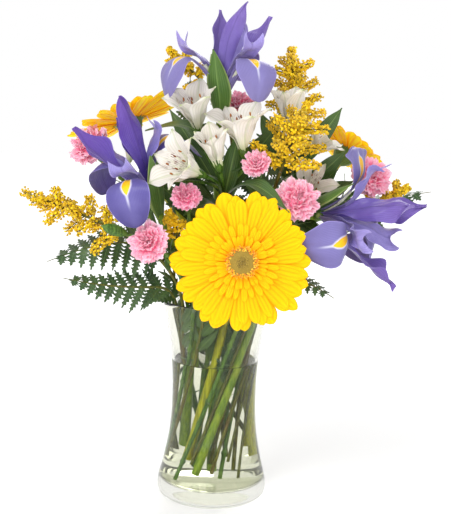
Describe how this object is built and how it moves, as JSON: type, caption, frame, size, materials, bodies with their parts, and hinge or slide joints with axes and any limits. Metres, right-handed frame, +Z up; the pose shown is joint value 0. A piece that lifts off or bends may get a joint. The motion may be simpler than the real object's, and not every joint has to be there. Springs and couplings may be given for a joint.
{
  "type": "mixed iris bouquet in a glass vase",
  "caption": "Dutch irises with gerberas, spray carnations, alstroemeria, goldenrod and fern, standing in water in a flared clear glass vase.",
  "frame": {"origin": "centre of the vase's flat underside", "axes": "+Z up the vase's axis, -Y towards the front that the large flower faces, +X to the right"},
  "size_m": [0.3741, 0.2279, 0.4406],
  "materials": {
    "glass": "gloss",
    "water": "gloss",
    "iris_petal": "satin",
    "gerbera_petal": "satin",
    "gerbera_disc": "matte",
    "carnation_petal": "matte",
    "alstroemeria_petal": "satin",
    "goldenrod_floret": "matte",
    "leaf": "satin",
    "pale_stem": "satin",
    "fern": "satin"
  },
  "bodies": {
    "root": {"iris_top_flower": "iris_petal", "iris_top_stem": "leaf", "iris_left_flower": "iris_petal", "iris_left_stem": "leaf", "iris_right_flower": "iris_petal", "iris_right_stem": "leaf", "gerbera_front_petals": "gerbera_petal", "gerbera_front_disc": "gerbera_disc", "gerbera_front_stem": "pale_stem", "gerbera_left_petals": "gerbera_petal", "gerbera_left_disc": "gerbera_disc", "gerbera_left_stem": "pale_stem", "gerbera_right_petals": "gerbera_petal", "gerbera_right_disc": "gerbera_disc", "gerbera_right_stem": "pale_stem", "carnation_a_head_1": "carnation_petal", "carnation_a_head_2": "carnation_petal", "carnation_a_stem": "leaf", "carnation_b_head_1": "carnation_petal", "carnation_b_head_2": "carnation_petal", "carnation_b_stem": "leaf", "carnation_c_head_1": "carnation_petal", "carnation_c_stem": "leaf", "carnation_d_head_1": "carnation_petal", "carnation_d_stem": "leaf", "carnation_e_head_1": "carnation_petal", "carnation_e_stem": "leaf", "alstroemeria_a_flower_1": "alstroemeria_petal", "alstroemeria_a_flower_2": "alstroemeria_petal", "alstroemeria_a_flower_3": "alstroemeria_petal", "alstroemeria_a_flower_4": "alstroemeria_petal", "alstroemeria_a_bud_1": "alstroemeria_petal", "alstroemeria_a_stem": "leaf", "alstroemeria_b_flower_1": "alstroemeria_petal", "alstroemeria_b_flower_2": "alstroemeria_petal", "alstroemeria_b_stem": "leaf", "alstroemeria_c_flower_1": "alstroemeria_petal", "alstroemeria_c_stem": "leaf", "goldenrod_a_stem": "pale_stem", "goldenrod_a_plume": "goldenrod_floret", "goldenrod_b_stem": "pale_stem", "goldenrod_b_plume": "goldenrod_floret", "goldenrod_c_stem": "pale_stem", "goldenrod_c_plume": "goldenrod_floret", "goldenrod_d_stem": "pale_stem", "goldenrod_d_plume": "goldenrod_floret", "goldenrod_e_stem": "pale_stem", "goldenrod_e_plume": "goldenrod_floret", "goldenrod_f_stem": "pale_stem", "goldenrod_f_plume": "goldenrod_floret", "fern_left_high": "fern", "fern_left_low": "fern", "fern_right_low": "fern", "fern_right_high": "fern", "fern_back_right": "fern", "fern_back": "fern", "fern_back_left": "fern", "vase": "glass", "water": "water"}
  },
  "joints": []
}
